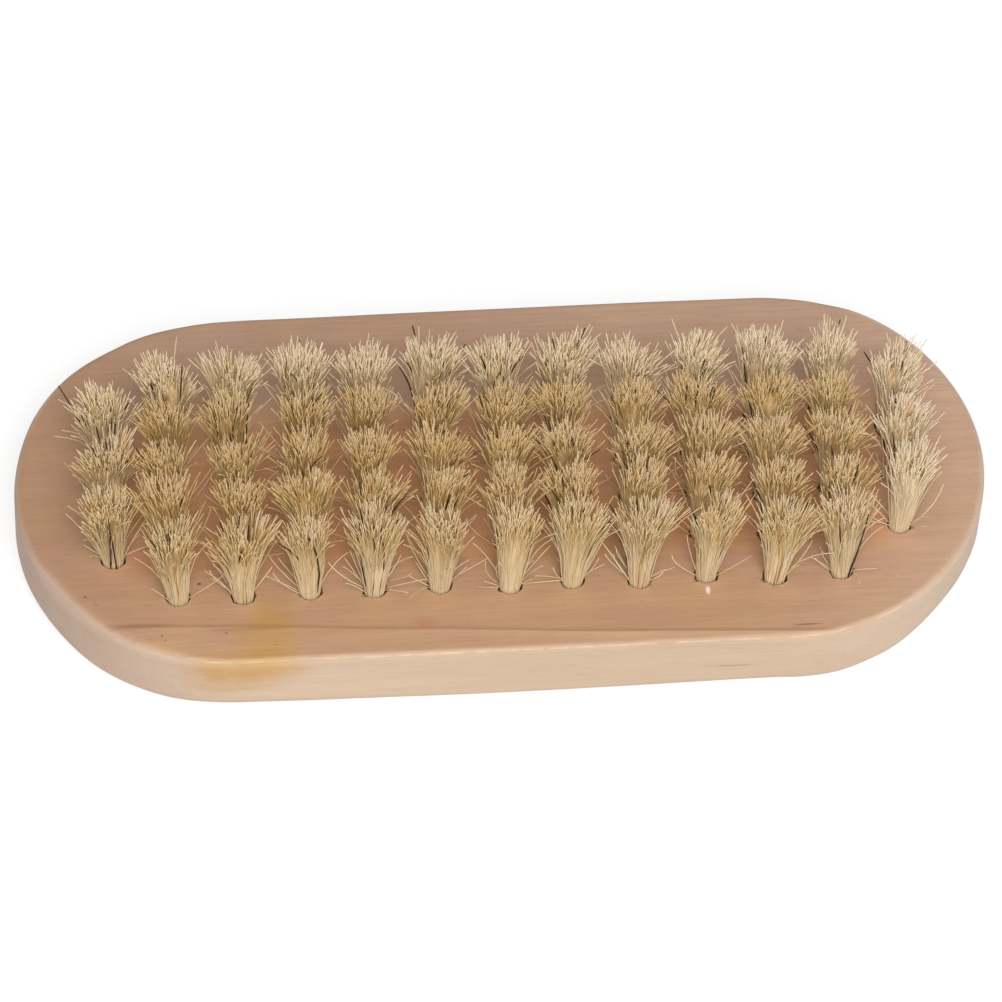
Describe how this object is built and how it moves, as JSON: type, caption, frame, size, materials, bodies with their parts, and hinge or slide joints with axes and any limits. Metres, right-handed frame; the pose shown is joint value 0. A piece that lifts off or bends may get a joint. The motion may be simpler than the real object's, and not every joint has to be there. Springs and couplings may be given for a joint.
{
  "type": "nail brush",
  "caption": "Flat wooden nail brush with rounded ends: upright tufts of natural bristles in rows across one face, each held in a blind bore by a wire anchor.",
  "frame": {"origin": "centre of the block's flat back, on the surface that the brush rests on", "axes": "+X along the block, to the right in the picture's view; +Y across the block, away from the viewer; +Z out of the bristle face, the way the bristles point"},
  "size_m": [0.12, 0.053, 0.0255],
  "materials": {
    "pale_wood": "sanded bare pale hardwood, matte",
    "natural_bristle": "cream natural bristle, satin, with a few dark ones",
    "anchor_wire": "drawn flat wire"
  },
  "bodies": {
    "root": {"wooden_block": "pale_wood", "tufts_left_end": "natural_bristle", "tufts_01": "natural_bristle", "tufts_02": "natural_bristle", "tufts_03": "natural_bristle", "tufts_04": "natural_bristle", "tufts_05": "natural_bristle", "tufts_06": "natural_bristle", "tufts_07": "natural_bristle", "tufts_08": "natural_bristle", "tufts_09": "natural_bristle", "tufts_10": "natural_bristle", "tufts_11": "natural_bristle", "tufts_right_end": "natural_bristle", "anchors_left_end": "anchor_wire", "anchors_01": "anchor_wire", "anchors_02": "anchor_wire", "anchors_03": "anchor_wire", "anchors_04": "anchor_wire", "anchors_05": "anchor_wire", "anchors_06": "anchor_wire", "anchors_07": "anchor_wire", "anchors_08": "anchor_wire", "anchors_09": "anchor_wire", "anchors_10": "anchor_wire", "anchors_11": "anchor_wire", "anchors_right_end": "anchor_wire"}
  },
  "joints": []
}
